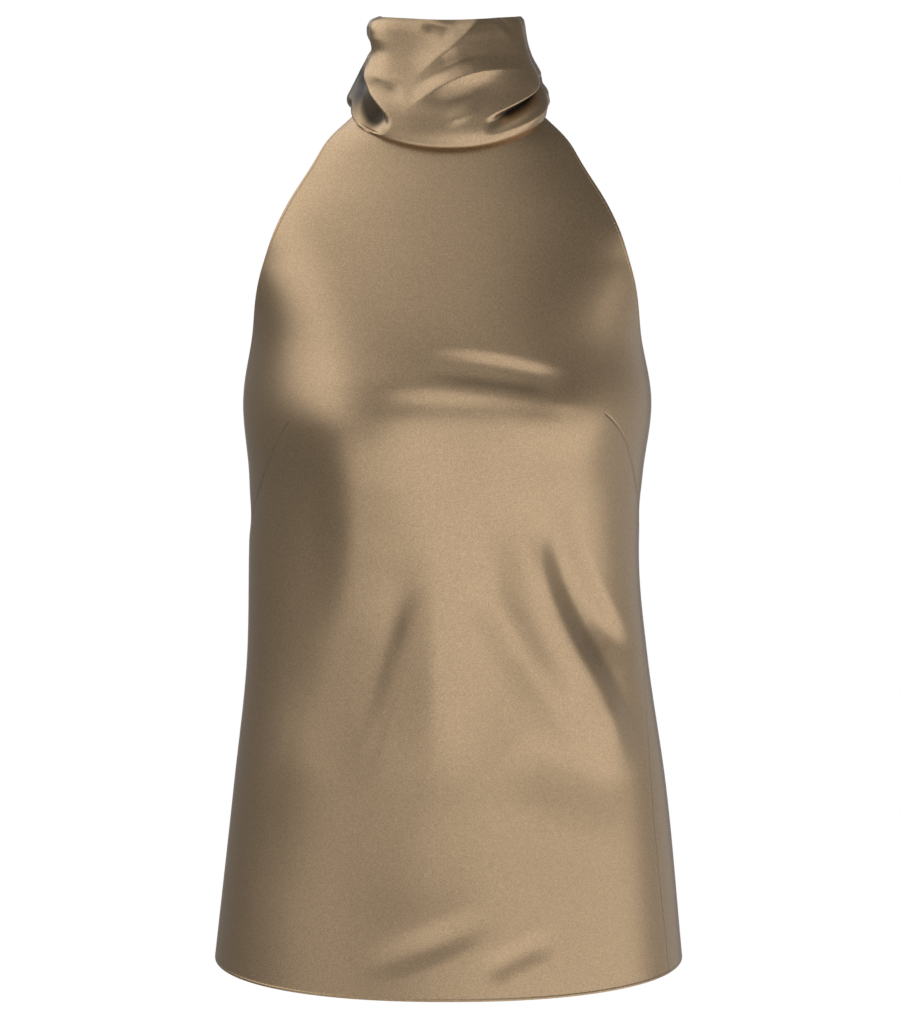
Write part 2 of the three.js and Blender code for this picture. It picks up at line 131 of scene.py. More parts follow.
def make_world():
    world = bpy.data.worlds.new("studio")
    world.use_nodes = True
    nodes, links = world.node_tree.nodes, world.node_tree.links
    math_node, ramp = node_tools(world.node_tree)
    place = nodes.new("ShaderNodeTexCoord")

    def toward(axis):
        made = nodes.new("ShaderNodeVectorMath")
        made.operation = "DOT_PRODUCT"
        made.inputs[1].default_value = axis
        links.new(place.outputs["Generated"], made.inputs[0])
        return made.outputs["Value"]

    def fade(away, full, soft):
        return ramp(math_node("ABSOLUTE", away), math.radians(full + soft), math.radians(full))

    height = math_node("ARCSINE", toward((0, 0, 1)))
    lit = 0.0
    for patch in PATCHES:
        beside, facing = toward(direction(patch.azimuth + 90, 0)), toward(direction(patch.azimuth, 0))
        turn = math_node("ARCTAN2", beside, facing)
        lift = math_node("SUBTRACT", height, math.radians(patch.elevation))
        inside = math_node("MULTIPLY", fade(turn, patch.wide, patch.soft), fade(lift, patch.tall, patch.edge))
        lit = math_node("MAXIMUM", math_node("MULTIPLY", inside, patch.strength), lit)
    total = math_node("ADD", lit, SURROUND)
    # What the camera sees behind the garment is plain white.
    path = nodes.new("ShaderNodeLightPath")
    shown = nodes.new("ShaderNodeMix")
    links.new(path.outputs["Is Camera Ray"], shown.inputs["Factor"])
    links.new(total, shown.inputs["A"])
    shown.inputs["B"].default_value = 1.0
    links.new(shown.outputs["Result"], nodes["Background"].inputs["Strength"])
    nodes["Background"].inputs["Color"].default_value = (1, 1, 1, 1)
    bpy.context.scene.world = world
    bpy.context.scene.view_settings.view_transform = "Standard"


def make_floor():
    turns = [2 * math.pi * i / FLOOR_SIDES for i in range(FLOOR_SIDES)]
    rim = [(FLOOR_RADIUS * math.cos(t), FLOOR_RADIUS * math.sin(t), FLOOR_HEIGHT) for t in turns]
    mesh = bpy.data.meshes.new("floor")
    mesh.from_pydata(rim, [], [tuple(range(FLOOR_SIDES))])
    floor = new_object("floor", mesh)
    paint = bpy.data.materials.new("floor")
    paint.use_nodes = True
    shader = paint.node_tree.nodes["Principled BSDF"]
    shader.inputs["Base Color"].default_value = (FLOOR_GRAY, FLOOR_GRAY, FLOOR_GRAY, 1)
    shader.inputs["Roughness"].default_value = FLOOR_ROUGHNESS
    mesh.materials.append(paint)


make_camera()
make_world()
make_floor()

# ---------------------------------------------------------------- satin

SATIN_LIGHT = (0.475, 0.335, 0.2)
SATIN_DARK = (0.345, 0.24, 0.14)
SATIN_PAINTED_SHADE = (0.012, 0.009, 0.006)  # colour of the painted shade deep in a fold, where the cloth sees only itself
ROUGHNESS = 0.33
METALLIC = 0.85
SHEEN = 0.08
SHEEN_ROUGHNESS = 0.4
COAT = 0.4
COAT_ROUGHNESS = 0.4
COAT_IOR = 1.5

# The weave's mottling: its size in mm, and the noise values between which it goes from dark to light.
GRAIN_MM = 0.9
GRAIN_DETAIL = 2
GRAIN_DARK = 0.3
GRAIN_LIGHT = 0.7
GRAIN_RELIEF = 0.3
GRAIN_HIGH = 0.3  # mm

# A sewn seam is a groove of this half width, and this much darker.
SEAM_WIDE = 1.6
GROOVE_SHADE = 0.6

# A free edge has a rolled hem, stitched this far in. Widths are mm, heights are shares of the groove's depth.
HEM_TURN = 1.6
HEM_HIGH = 0.35
STITCH_MM = 3.0
STITCH_WIDE = 0.45
STITCH_OUTER = STITCH_WIDE * 1.6
STITCH_INNER = STITCH_WIDE * 0.6
STITCH_GAP = 0.12  # shares of half a stitch's length: bare, and then fully raised
STITCH_FULL = 0.3
STITCH_HIGH = 0.25
GROOVE_DEEP = 0.5  # mm


def satin():
    material = bpy.data.materials.new("satin")
    material.use_nodes = True
    nodes, links = material.node_tree.nodes, material.node_tree.links
    math_node, ramp = node_tools(material.node_tree)
    shader = nodes["Principled BSDF"]
    shader.inputs["Roughness"].default_value = ROUGHNESS
    shader.inputs["Metallic"].default_value = METALLIC
    shader.inputs["Sheen Weight"].default_value = SHEEN
    shader.inputs["Sheen Roughness"].default_value = SHEEN_ROUGHNESS
    shader.inputs["Coat Roughness"].default_value = COAT_ROUGHNESS
    shader.inputs["Coat IOR"].default_value = COAT_IOR

    def mark(attribute):
        made = nodes.new("ShaderNodeAttribute")
        made.attribute_name = attribute
        return made.outputs["Fac"]

    def mixed(first, second, share):
        made = nodes.new("ShaderNodeMix")
        made.data_type = "RGBA"
        for socket, value in ((made.inputs["A"], first), (made.inputs["B"], second)):
            if isinstance(value, tuple):
                socket.default_value = (*value, 1)
            else:
                links.new(value, socket)
        links.new(share, made.inputs["Factor"])
        return made.outputs["Result"]

    def bump(height, strength, deep_mm):
        made = nodes.new("ShaderNodeBump")
        made.inputs["Strength"].default_value = strength
        made.inputs["Distance"].default_value = deep_mm * MM
        links.new(height, made.inputs["Height"])
        return made

    # Each shell's marks: mm to a sewn seam and how much of it there is, mm to a free edge, mm along it, and
    # how much painted shade lies on it deep in its folds.
    groove = ramp(math_node("ABSOLUTE", mark("seam")), SEAM_WIDE, 0)
    groove = math_node("MULTIPLY", groove, mark("seam_there"))
    hem = math_node("SUBTRACT", mark("edge"), HEM_TURN)
    turned = ramp(hem, STITCH_WIDE, -STITCH_WIDE)
    beside = ramp(math_node("ABSOLUTE", hem), STITCH_OUTER, STITCH_INNER)
    dash = math_node("PINGPONG", math_node("MULTIPLY", mark("along"), 2 / STITCH_MM), 1)
    stitch = math_node("MULTIPLY", beside, ramp(dash, STITCH_GAP, STITCH_FULL))
    relief = math_node("SUBTRACT", math_node("MULTIPLY", turned, HEM_HIGH), groove)
    relief = math_node("ADD", relief, math_node("MULTIPLY", stitch, STITCH_HIGH))

    noise = nodes.new("ShaderNodeTexNoise")
    noise.inputs["Scale"].default_value = 1 / (GRAIN_MM * MM)
    noise.inputs["Detail"].default_value = GRAIN_DETAIL
    links.new(nodes.new("ShaderNodeTexCoord").outputs["Object"], noise.inputs["Vector"])
    grain = noise.outputs["Fac"]
    mottling = ramp(grain, GRAIN_DARK, GRAIN_LIGHT)
    shade = math_node("SUBTRACT", mottling, math_node("MULTIPLY", groove, GROOVE_SHADE))
    tint = mixed(SATIN_DARK, SATIN_LIGHT, shade)
    # Painted shade: deep in a fold the colour goes toward the dark shade colour and the coat fades, so it
    # reflects less.
    links.new(mixed(tint, SATIN_PAINTED_SHADE, mark("painted_shade")), shader.inputs["Base Color"])
    unshaded_share = math_node("SUBTRACT", 1, mark("painted_shade"))
    links.new(math_node("MULTIPLY", unshaded_share, COAT), shader.inputs["Coat Weight"])
    sewn = bump(relief, 1, GROOVE_DEEP)
    woven = bump(grain, GRAIN_RELIEF, GRAIN_HIGH)
    links.new(sewn.outputs["Normal"], woven.inputs["Normal"])
    links.new(woven.outputs["Normal"], shader.inputs["Normal"])
    return material


SATIN = satin()

# ---------------------------------------------------------------- curves and folds


def column(rows, name, key="z"):
    """A smooth curve through one column of a table whose rows climb in the key column."""
    at = np.array([getattr(row, key) for row in rows], float)
    value = np.array([getattr(row, name) for row in rows], float)
    slope = np.diff(value) / np.diff(at)
    tangent = np.empty_like(at)
    tangent[0], tangent[-1] = slope[0], slope[-1]
    before, after = np.diff(at)[:-1], np.diff(at)[1:]
    tangent[1:-1] = (slope[:-1] * after + slope[1:] * before) / (before + after)

    def curve(x):
        x = np.asarray(x, float)
        i = np.clip(np.searchsorted(at, x, side="right") - 1, 0, len(at) - 2)
        span = at[i + 1] - at[i]
        t = np.clip((x - at[i]) / span, 0, 1)
        u = 1 - t
        return (
            value[i] * (1 + 2 * t) * u * u
            + tangent[i] * span * t * u * u
            + value[i + 1] * t * t * (3 - 2 * t)
            - tangent[i + 1] * span * t * t * u
        )

    return curve


def smoothstep(x, low=0.0, high=1.0):
    t = np.clip((np.asarray(x, float) - low) / (high - low), 0, 1)
    return t * t * (3 - 2 * t)


def lerp(a, b, t):
    return a + (b - a) * t


WAY_SEGMENTS = 12


def nearest_on_way(start, over, end, angle, level, girth, rise):
    """Each point's mm from a curved way through three points, and the share of the way and the side it is on.

    girth and rise turn the points' two numbers to mm. The side is positive to the left of the way.
    """
    start, over, end = (np.array(point, float) for point in (start, over, end))
    bend = 2 * over - (start + end) / 2
    share = np.linspace(0, 1, WAY_SEGMENTS + 1)[:, None]
    line = (1 - share) ** 2 * start + 2 * share * (1 - share) * bend + share**2 * end
    shape = np.broadcast(angle, level).shape
    best, where, side = np.full(shape, np.inf), np.zeros(shape), np.zeros(shape)
    for i, (a, b) in enumerate(zip(line[:-1], line[1:])):
        dx, dy = (b[0] - a[0]) * girth, (b[1] - a[1]) * rise
        x, y = (angle - a[0]) * girth, (level - a[1]) * rise
        t = np.clip((x * dx + y * dy) / (dx * dx + dy * dy), 0, 1)
        away = np.hypot(x - t * dx, y - t * dy)
        nearer = away < best
        best = np.where(nearer, away, best)
        where = np.where(nearer, (i + t) / WAY_SEGMENTS, where)
        side = np.where(nearer, dx * y - dy * x, side)
    return best, where, side


# A fold runs from start over a middle point to end, each (degrees, height). left and right are its widths in
# mm to each side of that way, depth its height in mm (a trough below 0), and crisp goes from a soft bell, 0,
# to a sharp crease, 1. It starts over the share grow of its length and ends over the share fade.
Fold = namedtuple("Fold", "start over end left right depth crisp grow fade")


def fold_height(folds, angle, level, girth, rise):
    """The height of all the folds of a table. girth and rise turn the points' two numbers to mm."""
    total = np.zeros(np.broadcast(angle, level).shape)
    for fold in folds:
        away, where, side = nearest_on_way(fold.start, fold.over, fold.end, angle, level, girth, rise)
        near = away / np.where(side > 0, fold.left, fold.right)
        bell = 0.5 * (1 + np.cos(np.pi * np.minimum(near, 1)))
        cusp = np.maximum(0, 1 - near) ** 2
        ends = smoothstep(where, 0, fold.grow) * smoothstep(1 - where, 0, fold.fade)
        total += fold.depth * ends * lerp(bell, cusp, fold.crisp)
    return total


# ---------------------------------------------------------------- the body's surface

HEM_Z = -636
UNDERARM_Z = -208
NECK_FRONT_Z = -12
NECK_SIDE_Z = 13
NECK_BACK_Z = 20
NECK_CORNER = 72  # degrees from the centre front to where the neckline meets the armhole
NECK_CURVE = 2.6
BACK_DIP = 16
SEAM_GAP = 0.3
MM_PER_DEGREE = 2.4
ARMHOLE_AWAY = 144  # mm along the cloth from the centre front to an armhole's edge
NECKLINE_ROUNDS = 6
FULL_TURN = 360

# The body's half sizes at each height, and how square its section is: 2 is an ellipse.
Section = namedtuple("Section", "z left right front back square")
SECTIONS = [
    Section(-636, 181, 181, 126, 112, 2.2),
    Section(-500, 165, 167, 112, 104, 2.2),
    Section(-400, 154, 152, 105, 92, 2.2),
    Section(-330, 152, 145, 106, 84, 2.2),
    Section(-260, 151, 147, 114, 86, 2.2),
    Section(-208, 155, 153, 121, 92, 2.2),
    Section(-150, 150, 147, 116, 92, 2.2),
    Section(-99, 157, 153, 100, 88, 2.2),
    Section(-54, 158, 154, 80, 80, 2.2),
    Section(-17, 123, 120, 61, 70, 2.2),
    Section(13, 71, 71, 52, 62, 2.4),
    Section(26, 66, 66, 49, 58, 2.4),
]

# How far round the front panel reaches to each side, in degrees.
Edge = namedtuple("Edge", "z left right")
SIDE_EDGES = [
    Edge(-636, 94, 72),
    Edge(-500, 94, 72),
    Edge(-370, 93, 80),
    Edge(-208, 89, 88),
    Edge(-150, 77, 77),
    Edge(-99, 68, 68),
    Edge(-54, 64, 64),
    Edge(-17, 66, 66),
    Edge(13, NECK_CORNER, NECK_CORNER),
]

# The bust: wide is in degrees, and the rest in mm.
Bump = namedtuple("Bump", "angle z rise wide tall")
FULLNESS = [
    Bump(-30, -219, 8, 20, 46),
    Bump(38, -219, 8, 20, 46),
]

BODY_FOLDS = [
    # the crease under the chest: a slanting step, a crisp ridge below it and a slight trough under that
    Fold((-16, -163), (12, -167), (40, -183), 12, 40, -2.0, 0.1, 0.6, 0.2),
    Fold((-46, -180), (4, -185), (50, -201), 22, 10, 0.6, 0.4, 0.25, 0.2),
    Fold((-30, -195), (-6, -195), (24, -200), 9, 14, -0.6, 0.1, 0.4, 0.35),
    # the drape down the left
    Fold((-28, -222), (-39, -374), (-67, -554), 96, 48, 6, 0, 0.25, 0.4),
    # the middle's ridge and the narrow step that runs down-left beside it
    Fold((-6, -251), (-5, -371), (-7, -480), 60, 44, 4.4, 0.1, 0.5, 0.35),
    Fold((-17, -318), (-27, -400), (-38, -486), 22, 80, -4.0, 0.1, 0.35, 0.35),
    # the slight trough beside the middle's ridge
    Fold((10, -318), (22, -360), (40, -430), 24, 28, -2.2, 0.1, 0.35, 0.35),
    # the ridge that runs down to the right side seam and the deep trough beside it
    Fold((20, -262), (43, -372), (65, -482), 28, 36, 7.5, 0.1, 0.3, 0.25),
    Fold((40, -262), (50, -336), (74, -400), 18, 42, -6.5, 0, 0.45, 0.35),
    Fold((25, -444), (43, -470), (77, -492), 25, 45, -1.5, 0, 0.35, 0.3),
    # the hem's ripples
    Fold((-43, -554), (-17, -547), (25, -555), 60, 40, -1.0, 0, 0.35, 0.35),
    Fold((-33, -616), (-6, -596), (21, -571), 20, 16, -1.6, 0.1, 0.3, 0.5),
    Fold((10, -620), (24, -603), (38, -592), 14, 14, -1.1, 0.1, 0.3, 0.4),
    # the sides and the back
    Fold((-84, -272), (-96, -288), (-112, -296), 30, 30, -5, 0, 0.4, 0.4),
    Fold((84, -262), (98, -284), (116, -292), 30, 30, -4, 0, 0.4, 0.4),
    Fold((150, -252), (156, -400), (152, -600), 44, 44, 7, 0, 0.4, 0.2),
    Fold((176, -262), (181, -420), (184, -600), 40, 40, -7, 0, 0.4, 0.2),
    Fold((208, -250), (204, -410), (210, -600), 44, 44, 7, 0, 0.4, 0.2),
    Fold((122, -290), (128, -420), (118, -600), 36, 36, -5, 0, 0.4, 0.3),
    Fold((238, -290), (232, -420), (242, -600), 36, 36, -5, 0, 0.4, 0.3),
]

section = {name: column(SECTIONS, name) for name in ("left", "right", "front", "back", "square")}


def section_radius(angle, z):
    sine, cosine = np.sin(np.radians(angle)), np.cos(np.radians(angle))
    width = np.where(sine > 0, section["right"](z), section["left"](z))
    depth = np.where(cosine > 0, section["front"](z), section["back"](z))
    n = section["square"](z)
    return ((np.abs(cosine) / depth) ** n + (np.abs(sine) / width) ** n) ** (-1 / n)


def body_radius(angle, z):
    radius = section_radius(angle, z)
    for bump in FULLNESS:
        away = ((angle - bump.angle) / bump.wide) ** 2 + ((z - bump.z) / bump.tall) ** 2
        radius = radius + bump.rise * np.exp(-away)
    for turn in (-FULL_TURN, 0, FULL_TURN):
        radius = radius + fold_height(BODY_FOLDS, angle + turn, z, MM_PER_DEGREE, 1)
    return radius


def polar(angle, radius, z):
    turn = np.radians(angle)
    return np.stack(np.broadcast_arrays(radius * np.sin(turn), -radius * np.cos(turn), z), axis=-1)


def neckline_z(angle):
    away = np.abs(angle)
    climb = np.minimum(1, away / NECK_CORNER) ** NECK_CURVE
    behind = smoothstep(away, NECK_CORNER, 180)
    return lerp(NECK_FRONT_Z, NECK_SIDE_Z, climb) + (NECK_BACK_Z - NECK_SIDE_Z) * behind


# ---------------------------------------------------------------- shells

RIM_ANGLE = 60  # degrees between faces from which an edge is shaded sharp
FAR = 50  # mm, out of reach of any seam or hem

# What the satin's material reads at each point, and its plain value where a shell has no such mark.
Mark = namedtuple("Mark", "name plain")
MARKS = [
    Mark("seam", FAR),
    Mark("seam_there", 0),
    Mark("edge", FAR),
    Mark("along", 0),
    # painted shade in the folds, 0 to 1
    Mark("painted_shade", 0),
]


def normals(points, closed=False):
    """Unit normals of a grid of points: rows go up, columns go anticlockwise as seen from outside."""
    if closed:
        across = np.roll(points, -1, axis=1) - np.roll(points, 1, axis=1)
    else:
        across = np.gradient(points, axis=1)
    up = np.gradient(points, axis=0)
    found = np.cross(across, up)
    return found / np.maximum(np.linalg.norm(found, axis=-1, keepdims=True), 1e-9)


def shell(name, node, points, thickness, closed=False, marks=None):
    """A closed satin wall: the grid's points outside, and the same moved inward. marks are per point."""
    rows, across = points.shape[:2]
    out = normals(points, closed)
    layers = [points, points - out * thickness]
    grid = np.arange(rows * across).reshape(rows, across)
    if closed:
        grid = np.concatenate([grid, grid[:, :1]], axis=1)
    back = grid + rows * across

    def quads(a, b, c, d):
        return np.stack([a, b, c, d], axis=-1).reshape(-1, 4)

    faces = [
        quads(grid[:-1, :-1], grid[:-1, 1:], grid[1:, 1:], grid[1:, :-1]),
        quads(back[:-1, :-1], back[1:, :-1], back[1:, 1:], back[:-1, 1:]),
        quads(back[0, :-1], back[0, 1:], grid[0, 1:], grid[0, :-1]),
        quads(grid[-1, :-1], grid[-1, 1:], back[-1, 1:], back[-1, :-1]),
    ]
    if not closed:
        faces.append(quads(back[:-1, 0], grid[:-1, 0], grid[1:, 0], back[1:, 0]))
        faces.append(quads(grid[:-1, -1], back[:-1, -1], back[1:, -1], grid[1:, -1]))
    vertices = np.concatenate([layer.reshape(-1, 3) for layer in layers]) * MM
    mesh = bpy.data.meshes.new(name)
    mesh.from_pydata(vertices.tolist(), [], np.concatenate(faces).tolist())
    mesh.shade_smooth()
    mesh.set_sharp_from_angle(angle=math.radians(RIM_ANGLE))
    for mark in MARKS:
        values = (marks or {}).get(mark.name, mark.plain) + np.zeros((rows, across))
        values = np.tile(values.ravel(), 2).astype(np.float32)
        mesh.attributes.new(mark.name, "FLOAT", "POINT").data.foreach_set("value", values)
    mesh.materials.append(SATIN)
    made = new_object(name, mesh)
    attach(made, "root")
    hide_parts(node)
    return made


# ---------------------------------------------------------------- front and back panels

# The front's long bust darts, sewn from the side seam up to a point, each a way over a middle point.
Dart = namedtuple("Dart", "low over point")
DARTS = [
    Dart((-79, -290), (-63, -240), (-52, -210)),
    Dart((78, -278), (63, -231), (50, -203)),
]
DART_REACH = 8  # mm from the seam
DART_FADE = 0.1  # share of the length


def dart_marks(angle, z):
    """Signed mm to the nearer dart's seam, and how much of the seam is there: it fades out at the point."""
    seam = np.full(angle.shape, float(FAR))
    there = np.zeros(angle.shape)
    for dart in DARTS:
        away, where, side = nearest_on_way(*dart, angle, z, MM_PER_DEGREE, 1)
        nearer = away < np.abs(seam)
        sewn = smoothstep(1 - where, 0, DART_FADE) * (away < DART_REACH)
        seam = np.where(nearer, np.copysign(away, side), seam)
        there = np.where(nearer, sewn, there)
    return {"seam": seam, "seam_there": there}


# Columns and rows of each grid, and the thickness of its cloth in mm.
FRONT_GRID = (190, 260)
BACK_GRID = (110, 150)
PANEL_CLOTH = 1.0

# Where the front lies in its own folds' shade: depth is 0 to 1.
FRONT_SHADE = [
    Fold((-14, -175), (13, -180), (38, -190), 7, 8, 0.42, 0, 0.4, 0.3),
    Fold((-10, -326), (-22, -381), (-30, -456), 13, 17, 0.25, 0, 0.3, 0.4),
    Fold((18, -318), (33, -372), (45, -424), 11, 11, 0.16, 0, 0.3, 0.4),
]


def seam_half_gap():
    return math.degrees(SEAM_GAP / 2 / section["left"](UNDERARM_Z))


def front_grid(columns, rows):
    """The front's points and marks. A row's heights and angles depend on each other and settle in rounds."""
    across = np.linspace(-1, 1, columns + 1)[None, :]
    climb = np.linspace(0, 1, rows + 1)[:, None]
    left, right = column(SIDE_EDGES, "left"), column(SIDE_EDGES, "right")
    half_gap = seam_half_gap()
    angle = across * NECK_CORNER + 0 * climb
    for _ in range(NECKLINE_ROUNDS):
        z = lerp(HEM_Z, neckline_z(angle) - SEAM_GAP, climb)
        angle = across * (np.where(across < 0, left(z), right(z)) - half_gap)
    free = np.where(z > UNDERARM_Z, (1 - np.abs(across)) * ARMHOLE_AWAY, z - HEM_Z)
    marks = dart_marks(angle, z) | {
        "edge": np.minimum(free, z - HEM_Z),
        "along": np.where(z > UNDERARM_Z, z, angle * MM_PER_DEGREE),
        # the painted shade of the front's folds
        "painted_shade": fold_height(FRONT_SHADE, angle, z, MM_PER_DEGREE, 1),
    }
    return polar(angle, body_radius(angle, z), z), marks


def back_grid(columns, rows):
    """The back's points and marks."""
    u = np.linspace(0, 1, columns + 1)[None, :]
    climb = np.linspace(0, 1, rows + 1)[:, None]
    left, right = column(SIDE_EDGES, "left"), column(SIDE_EDGES, "right")
    half_gap = seam_half_gap()
    z = lerp(HEM_Z, UNDERARM_Z - BACK_DIP * np.sin(np.pi * u), climb)
    angle = lerp(right(z) + half_gap, FULL_TURN - left(z) - half_gap, u)
    upper = (1 - climb) * (UNDERARM_Z - HEM_Z)
    marks = {"edge": np.minimum(z - HEM_Z, upper), "along": angle * MM_PER_DEGREE}
    return polar(angle, body_radius(angle, z), z), marks


front_points, front_marks = front_grid(*FRONT_GRID)
back_points, back_marks = back_grid(*BACK_GRID)
front = shell("front_panel_satin", "front_panel", front_points, PANEL_CLOTH, marks=front_marks)
back = shell("back_panel_satin", "back_panel", back_points, PANEL_CLOTH, marks=back_marks)

# ---------------------------------------------------------------- neck band

BAND_GRID = (300, 110)
BAND_CLOTH = 2.0
BAND_TOP_Z = 81.5
BAND_DIP_FRONT = 3.2
BAND_DIP_BACK = 4.5
BAND_RISE = 94
BAND_MM_PER_DEGREE = 1.2
BAND_CROWDING = 1.4  # above 1, its rows lie closer together near the seam
BAND_SEAM_SHARE = 0.1  # share of the climb over which the folds grow from the seam
BAND_PAINTED_SHADE_START = 4  # how deep a trough starts to take painted shade, and takes it fully, in mm
BAND_PAINTED_SHADE_FULL = 8.5
# the strongest painted shade in a trough, 0 to 1
BAND_PAINTED_SHADE_MOST = 0.95

# How far the band stands out from the neck's section on its climb from the seam to its top, and how far its
# front hangs below that climb.
Ring = namedtuple("Ring", "climb left right front back hang")
BAND_RINGS = [
    Ring(0.0, -3, -3, -3, -3, 0),
    Ring(0.02, 2, 2, 3, 1, 2),
    Ring(0.05, 4, 4, 6.5, 3, 6.5),
    Ring(0.12, 5, 4.5, 9, 4, 6.5),
    Ring(0.22, 2, 1, 8.5, 3, 3),
    Ring(0.4, -4, -2, 2, 1, 0.5),
    Ring(0.56, -10, -8, -4, -1, 0),
    Ring(0.68, -13, -11, -7, -2, 0),
    Ring(0.82, -10, -13, -10.5, -3, 0),
    Ring(0.92, -11, -14, -13, -4, 0),
    Ring(0.97, -14, -15, -15, -5, 0),
    Ring(1.0, -19, -17, -17, -7, 0),
]
BAND_FOLDS = [
    # the left: a deep trough above the seam, a notch near the top and a dimple
    Fold((-80, 0.58), (-55, 0.30), (-35, 0.13), 7, 32, -11, 0, 0.3, 0.3),
    Fold((-104, 0.74), (-84, 0.66), (-64, 0.62), 8, 8, -5, 0.3, 0.3, 0.4),
    Fold((-60, 0.40), (-44, 0.41), (-28, 0.38), 9, 9, -2.6, 0.1, 0.35, 0.35),
    # the front's crest, and the ridges and troughs that slant across it
    Fold((40, 1.14), (5, 0.81), (-30, 0.48), 44, 56, 11.5, 0.75, 0.1, 0.5),
    Fold((-24, 0.95), (-10, 0.92), (6, 0.89), 5, 9, -2.0, 0.1, 0.4, 0.3),
    Fold((-32, 0.22), (17, 0.575), (66, 0.46), 12, 20, 5, 0.6, 0.3, 0.4),
    Fold((-4, 0.21), (8, 0.265), (22, 0.32), 8, 6, 0.9, 0, 0.4, 0.4),
    # the overlap at the right
    Fold((94, 0.36), (58, 0.275), (20, 0.18), 8, 5, -9, 0.1, 0.2, 0.3),
    Fold((94, 0.24), (58, 0.16), (16, 0.08), 8, 8, 2, 0, 0.2, 0.4),
    # the back, drawn toward the knot
    Fold((120, 0.3), (150, 0.42), (172, 0.5), 12, 12, -4, 0, 0.4, 0.2),
    Fold((-120, 0.3), (-150, 0.42), (-172, 0.5), 12, 12, -4, 0, 0.4, 0.2),
    Fold((116, 0.72), (146, 0.68), (172, 0.6), 12, 12, 3, 0, 0.4, 0.2),
    Fold((-116, 0.8), (-146, 0.72), (-172, 0.62), 12, 12, 3, 0, 0.4, 0.2),
]
# The top at the right leans in.
BAND_LEAN = [
    Fold((-8, 1.5), (34, 1.3), (80, 1.1), 10, 74, -12, 0, 0.35, 0.4),
]
# Where the band lies in its own folds' shade: depth is 0 to 1.
BAND_SHADE = [
    Fold((-108, 0.72), (-88, 0.43), (-50, 0.11), 16, 40, 1, 0, 0.2, 0.2),
    Fold((-112, 0.82), (-86, 0.70), (-66, 0.66), 8, 8, 0.9, 0, 0.2, 0.4),
    Fold((-62, 0.43), (-44, 0.42), (-27, 0.39), 6, 6, 0.4, 0, 0.3, 0.4),
    Fold((-26, 0.95), (-8, 0.92), (12, 0.90), 4, 6, 0.4, 0, 0.3, 0.4),
    Fold((-16, 0.62), (4, 0.68), (22, 0.72), 8, 8, 0.45, 0, 0.3, 0.4),
    Fold((-26, 0.40), (10, 0.38), (46, 0.36), 14, 12, 0.3, 0, 0.3, 0.4),
]


def band_grid(columns, rows):
    """The band's points and marks, once round the neck."""
    angle = np.linspace(-180, 180, columns + 1)[None, :-1]
    climb = np.linspace(0, 1, rows + 1)[:, None] ** BAND_CROWDING
    stand = {name: column(BAND_RINGS, name, "climb") for name in ("left", "right", "front", "back", "hang")}
    sine, cosine = np.sin(np.radians(angle)), np.cos(np.radians(angle))
    side = np.where(sine > 0, stand["right"](climb), stand["left"](climb))
    face = np.where(cosine > 0, stand["front"](climb), stand["back"](climb))
    folds = fold_height(BAND_FOLDS, angle, climb, BAND_MM_PER_DEGREE, BAND_RISE)
    out = side * sine**2 + face * cosine**2 + folds * smoothstep(climb, 0, BAND_SEAM_SHARE)
    out = out + fold_height(BAND_LEAN, angle, climb, BAND_MM_PER_DEGREE, BAND_RISE)
    top = BAND_TOP_Z - np.where(cosine > 0, BAND_DIP_FRONT, BAND_DIP_BACK) * cosine**2
    z = lerp(neckline_z(angle), top, climb) - stand["hang"](climb) * np.maximum(0, cosine) ** 2
    # Painted shade: the deepest troughs and the shade table darken the band's colour.
    shade = fold_height(BAND_SHADE, angle, climb, BAND_MM_PER_DEGREE, BAND_RISE)
    painted_shade = np.maximum(BAND_PAINTED_SHADE_MOST * smoothstep(-folds, BAND_PAINTED_SHADE_START, BAND_PAINTED_SHADE_FULL), np.clip(shade, 0, 1))
    return polar(angle, section_radius(angle, neckline_z(angle)) + out, z), {"painted_shade": painted_shade}


band_points, band_marks = band_grid(*BAND_GRID)
band = shell("neck_band_satin", "neck_band", band_points, BAND_CLOTH, closed=True, marks=band_marks)

# ---------------------------------------------------------------- bow at the nape

BOW_CLOTH = 1.4
KNOT_CLOTH = 1.0
KNOT_GRID = (120, 64)
LOOP_GRID = (110, 40)
TAIL_GRID = (48, 110)
KNOT_SQUARE = 2.6
KNOT_END = 0.497  # how near its poles the knot's rows end, in half turns
KNOT_CREASE_CURVE = 1.5
PERCENT = 100
knot_low, knot_high = (np.array(corner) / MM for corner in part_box("bow_knot"))
knot_middle = (knot_low + knot_high) / 2
knot_half = (knot_high - knot_low) / 2

# The knot's creases run up and down it: at and lean in half widths, wide and deep in mm.
Crease = namedtuple("Crease", "at lean wide deep")
KNOT_CREASES = [
    Crease(-0.62, 0.10, 2.2, 1.6),
    Crease(-0.24, 0.16, 3.0, 2.2),
    Crease(0.12, 0.05, 2.4, 1.8),
    Crease(0.46, -0.08, 2.8, 2.0),
    Crease(0.74, -0.10, 1.8, 1.2),
]

# Each loop leaves the knot's side, falls at droop degrees below level and folds back on itself.
Loop = namedtuple("Loop", "node side length droop tip fullness root")
LOOPS = [
    Loop("bow_loop_left", -1, 72, 57, 24, 38, 9),
    Loop("bow_loop_right", 1, 68, 53, 23, 36, 9),
]
LOOP_SAG = 8
LOOP_NARROW = 0.14  # its fullness at the knot, as a share
LOOP_OPENING = 0.7  # below 1, it opens and spreads faster near the knot
LOOP_SPREADING = 0.8

